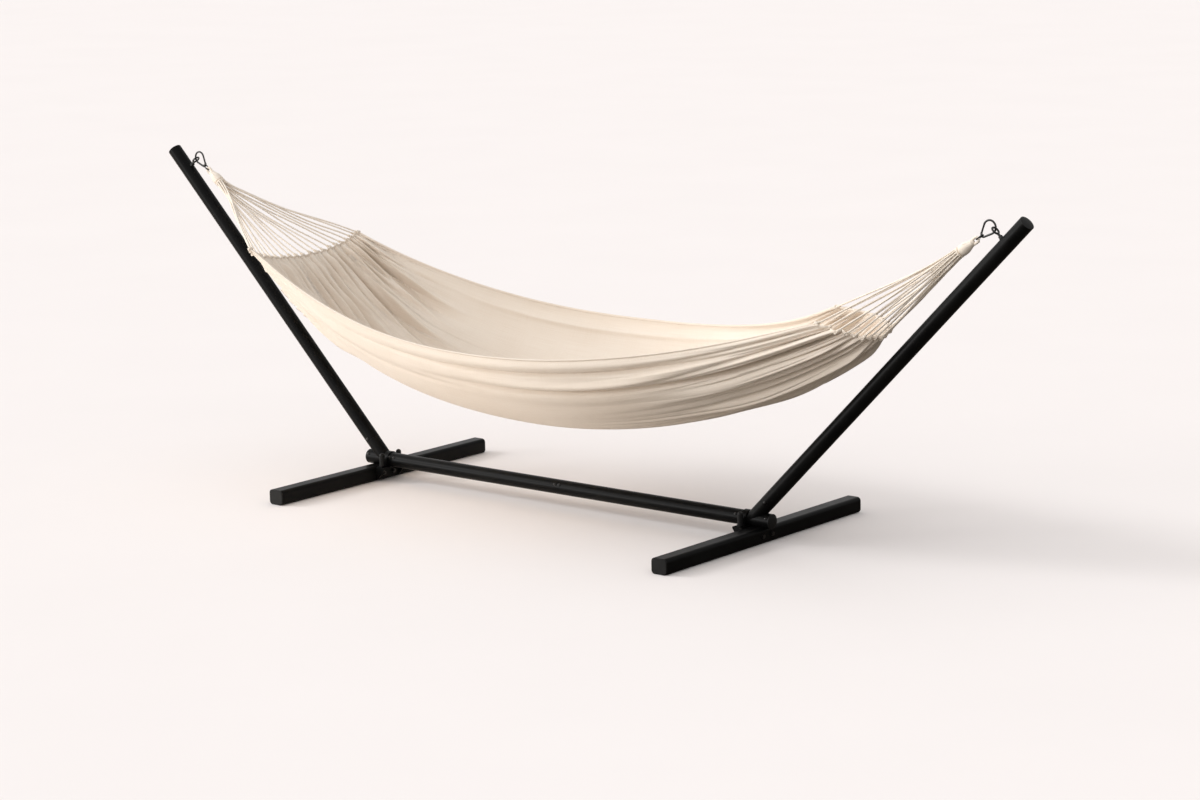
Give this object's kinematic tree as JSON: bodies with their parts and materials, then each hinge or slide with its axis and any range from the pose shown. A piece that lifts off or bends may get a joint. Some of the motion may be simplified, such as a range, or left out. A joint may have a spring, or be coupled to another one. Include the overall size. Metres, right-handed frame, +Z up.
{
  "type": "hammock on stand",
  "caption": "Cotton hammock with corded ends, hooked between two slanted arms of a free-standing tubular steel stand with two cross feet.",
  "frame": {"origin": "on the floor, at the middle of the stand's footprint", "axes": "+X along the spine and the hammock, towards the right end; +Y across, towards the rear; +Z up"},
  "size_m": [3.5364, 1.01, 1.0811],
  "materials": {
    "powder_steel": "satin black powder coat",
    "black_plastic": "moulded, fine matte grain",
    "black_hardware": "black coated wire and bolts",
    "bright_steel": "zinc plated, bright",
    "canvas": "natural cotton canvas",
    "cotton_cord": "natural cotton cord"
  },
  "bodies": {
    "stand": {"left_foot_tube": "powder_steel", "right_foot_tube": "powder_steel", "left_foot_caps": "black_plastic", "right_foot_caps": "black_plastic", "left_knee": "powder_steel", "right_knee": "powder_steel", "left_knee_spigots": "powder_steel", "right_knee_spigots": "powder_steel", "left_knee_plug": "black_plastic", "right_knee_plug": "black_plastic", "left_bracket": "powder_steel", "right_bracket": "powder_steel", "left_strap": "powder_steel", "right_strap": "powder_steel", "left_strap_bolts": "black_hardware", "right_strap_bolts": "black_hardware", "left_round_nuts": "black_plastic", "right_round_nuts": "black_plastic", "left_foot_bolts": "black_hardware", "right_foot_bolts": "black_hardware", "left_foot_nuts": "black_hardware", "right_foot_nuts": "black_hardware", "left_spine_tube": "powder_steel", "right_spine_tube": "powder_steel", "left_arm_tube": "powder_steel", "right_arm_tube": "powder_steel", "left_arm_cap": "black_plastic", "right_arm_cap": "black_plastic", "left_eye_bolt": "black_hardware", "right_eye_bolt": "black_hardware", "left_eye_nuts": "black_hardware", "right_eye_nuts": "black_hardware", "spine_sleeve": "powder_steel", "spine_screws": "black_hardware", "arm_screws": "black_hardware"},
    "hammock": {"hammock_cloth": "canvas", "left_hook": "black_hardware", "left_gate_pin": "bright_steel", "left_link": "black_hardware", "left_loop": "cotton_cord", "left_collar": "cotton_cord", "left_cords": "cotton_cord", "left_hem": "canvas", "right_hook": "black_hardware", "right_gate_pin": "bright_steel", "right_link": "black_hardware", "right_loop": "cotton_cord", "right_collar": "cotton_cord", "right_cords": "cotton_cord", "right_hem": "canvas"},
    "left_gate": {"left_gate": "black_hardware"},
    "right_gate": {"right_gate": "black_hardware"}
  },
  "joints": [
    {"name": "hammock_swing", "type": "hinge", "parent": "stand", "child": "hammock", "pos_m": [0, 0, 1.03506], "axis": [1, 0, 0], "range_deg": [-25, 25]},
    {"name": "left_gate_hinge", "type": "hinge", "parent": "hammock", "child": "left_gate", "pos_m": [-1.5984, 0, 1.02176], "axis": [0, -1, 0], "range_deg": [0, 25], "stiffness_Nm_per_rad": 0.03, "springref_deg": -17.19},
    {"name": "right_gate_hinge", "type": "hinge", "parent": "hammock", "child": "right_gate", "pos_m": [1.5984, 0, 1.02176], "axis": [0, 1, 0], "range_deg": [0, 25], "stiffness_Nm_per_rad": 0.03, "springref_deg": -17.19}
  ]
}
